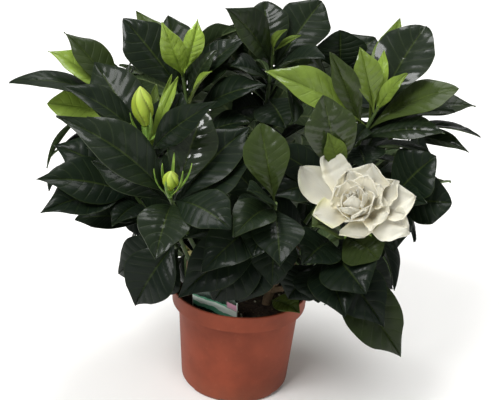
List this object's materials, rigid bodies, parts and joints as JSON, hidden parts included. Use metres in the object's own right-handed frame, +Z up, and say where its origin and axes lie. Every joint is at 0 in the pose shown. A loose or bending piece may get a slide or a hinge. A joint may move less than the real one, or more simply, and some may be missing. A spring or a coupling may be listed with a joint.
{
  "type": "potted gardenia",
  "caption": "Bushy evergreen gardenia in a tapered nursery pot, with glossy dark leaves, pale young shoots, ribbed green buds and an open white double flower.",
  "frame": {"origin": "middle of the pot's flat underside", "axes": "+Z up along the pot's axis; -Y towards the viewer of the picture, on the side with the open flower; +X to the viewer's right"},
  "size_m": [0.4248, 0.3535, 0.3642],
  "materials": {
    "terracotta_plastic": "matt, slightly mottled",
    "potting_soil": "dull, crumbly",
    "bark": "rough",
    "leaf_dark": "glossy upper side",
    "leaf_young": "satin",
    "leaf_yellowed": "dry",
    "calyx_green": "satin",
    "bud_green": "satin",
    "petal_cream": "soft, velvety",
    "label_card": "glossy card"
  },
  "bodies": {
    "root": {"pot": "terracotta_plastic", "soil": "potting_soil", "woody_stem_left": "bark", "woody_stem_right": "bark", "woody_stem_back": "bark", "shoot_top_left": "leaf_dark", "shoot_left_bud": "leaf_dark", "shoot_front_left": "leaf_dark", "shoot_low_left": "leaf_dark", "shoot_far_left": "leaf_dark", "shoot_mid_left": "leaf_dark", "shoot_right": "leaf_dark", "shoot_bloom": "leaf_dark", "shoot_centre_right": "leaf_dark", "shoot_front_centre": "leaf_dark", "shoot_low_right": "leaf_dark", "shoot_mid_right": "leaf_dark", "shoot_far_right": "leaf_dark", "shoot_top_centre": "leaf_dark", "shoot_top_right": "leaf_dark", "shoot_back_left": "leaf_dark", "shoot_back_centre": "leaf_dark", "shoot_back_right": "leaf_dark", "shoot_low_back_left": "leaf_dark", "shoot_low_back": "leaf_dark", "shoot_low_back_right": "leaf_dark", "shoot_young_top_left": "leaf_young", "shoot_young_right": "leaf_young", "shoot_young_top_centre": "leaf_young", "calyx_bloom": "calyx_green", "calyx_left_bud": "calyx_green", "bud_left_bud": "bud_green", "calyx_front_bud": "calyx_green", "bud_front_bud": "bud_green", "flower_petals": "petal_cream", "basal_leaf": "leaf_dark", "cut_twig": "bark", "yellowed_leaf": "leaf_yellowed", "plant_label": "label_card"}
  },
  "joints": []
}
